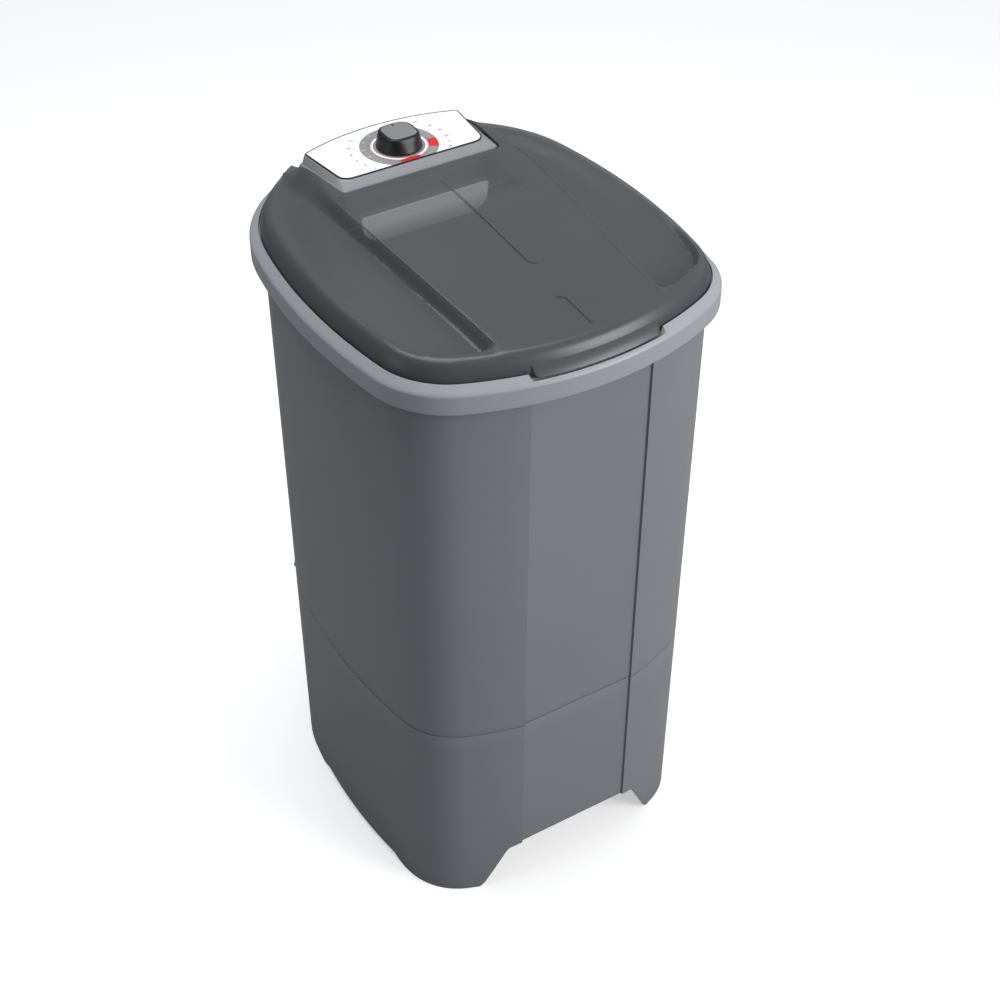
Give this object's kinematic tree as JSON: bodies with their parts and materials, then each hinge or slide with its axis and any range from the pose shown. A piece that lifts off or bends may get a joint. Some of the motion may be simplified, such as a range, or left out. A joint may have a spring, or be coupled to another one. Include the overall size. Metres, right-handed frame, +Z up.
{
  "type": "semi-automatic washing machine",
  "caption": "Tall free-standing wash tub with a domed smoked lid, a raised dial console at the rear, an agitator and a belt drive below.",
  "frame": {"origin": "centre of the footprint's bounding box, on the floor", "axes": "+Z up, front faces -Y, +X to the right when facing the back wall"},
  "size_m": [0.4972, 0.5948, 0.9526],
  "materials": {
    "body_plastic": "satin grey with fine metal flake",
    "collar_plastic": "satin light grey",
    "console_plastic": "semi-gloss light grey",
    "label_print": "glossy printed label",
    "knob_black": "satin black",
    "knob_grey": "satin grey",
    "lid_smoked": "smoked translucent, glossy",
    "soap_plastic": "satin grey",
    "agitator_plastic": "satin grey blue",
    "cap_plastic": "satin light grey",
    "steel": "zinc plated",
    "cast_grey": "as cast",
    "bronze": "sintered bronze",
    "rubber_black": "matt",
    "pulley_black": "satin",
    "motor_paint": "painted",
    "core_steel": "laminated",
    "copper_coil": "enamelled winding",
    "galvanised": "galvanised sheet",
    "capacitor_white": "satin",
    "hose_grey": "matt",
    "net_plastic": "satin",
    "timer_plastic": "satin",
    "wire_black": "matt sleeve",
    "black_plastic": "satin"
  },
  "bodies": {
    "cabinet": {"tub": "body_plastic", "base_skirt": "body_plastic", "rim_collar": "collar_plastic", "console_housing": "console_plastic", "console_label": "label_print", "timer_body": "timer_plastic", "timer_screws": "steel", "console_screws": "steel", "hinge_pins": "steel", "lid_bumpers": "rubber_black", "bearing_housing": "cast_grey", "housing_screws": "steel", "upper_bush": "bronze", "lower_bush": "bronze", "shaft_seal": "rubber_black", "v_belt": "rubber_black", "motor_housing": "motor_paint", "motor_end_cap": "cast_grey", "stator": "core_steel", "stator_coils": "copper_coil", "motor_bearings": "steel", "motor_mount": "galvanised", "rubber_mounts": "rubber_black", "mount_screws": "steel", "motor_screws": "steel", "capacitor": "capacitor_white", "capacitor_clip": "galvanised", "drain_grille": "cap_plastic", "drain_spigot": "black_plastic", "drain_hose": "hose_grey", "hose_clamps": "steel", "drain_outlet": "black_plastic", "lint_frame": "net_plastic", "lint_net": "net_plastic", "wire_channel": "body_plastic", "wiring_loom": "wire_black", "terminal_block": "timer_plastic", "cord_gland": "black_plastic", "rear_cover": "body_plastic", "cover_screws": "steel", "base_screws": "steel"},
    "lid_body": {"lid": "lid_smoked"},
    "knob_body": {"knob": "knob_black", "knob_cap": "knob_grey", "timer_shaft": "steel"},
    "agitator_body": {"agitator": "agitator_plastic", "agitator_bolt": "steel", "agitator_cap": "cap_plastic", "drive_shaft": "steel", "driven_pulley": "pulley_black", "pulley_nut": "steel"},
    "rotor_body": {"rotor": "core_steel", "motor_shaft": "steel", "motor_pulley": "cast_grey", "pulley_screw": "steel"},
    "drawer_body": {"dispenser_drawer": "soap_plastic"}
  },
  "joints": [
    {"name": "lid_hinge", "type": "hinge", "parent": "cabinet", "child": "lid_body", "pos_m": [0, 0.241, 0.886], "axis": [-1, 0, 0], "range_deg": [0, 95]},
    {"name": "knob_turn", "type": "hinge", "parent": "cabinet", "child": "knob_body", "pos_m": [0, 0.174, 0.94], "axis": [0, 0, -1], "range_deg": [0, 330]},
    {"name": "agitator_spin", "type": "hinge", "parent": "cabinet", "child": "agitator_body", "pos_m": [0, 0, 0.34], "axis": [0, 0, 1], "continuous": true},
    {"name": "motor_spin", "type": "hinge", "parent": "cabinet", "child": "rotor_body", "pos_m": [0, 0.15, 0.25], "axis": [0, 0, 1], "continuous": true},
    {"name": "drawer_slide", "type": "slide", "parent": "cabinet", "child": "drawer_body", "axis": [0, -1, 0], "range_m": [0, 0.06]}
  ],
  "couplings": [
    {"joint": "motor_spin", "follows": "agitator_spin", "ratio": 4}
  ]
}
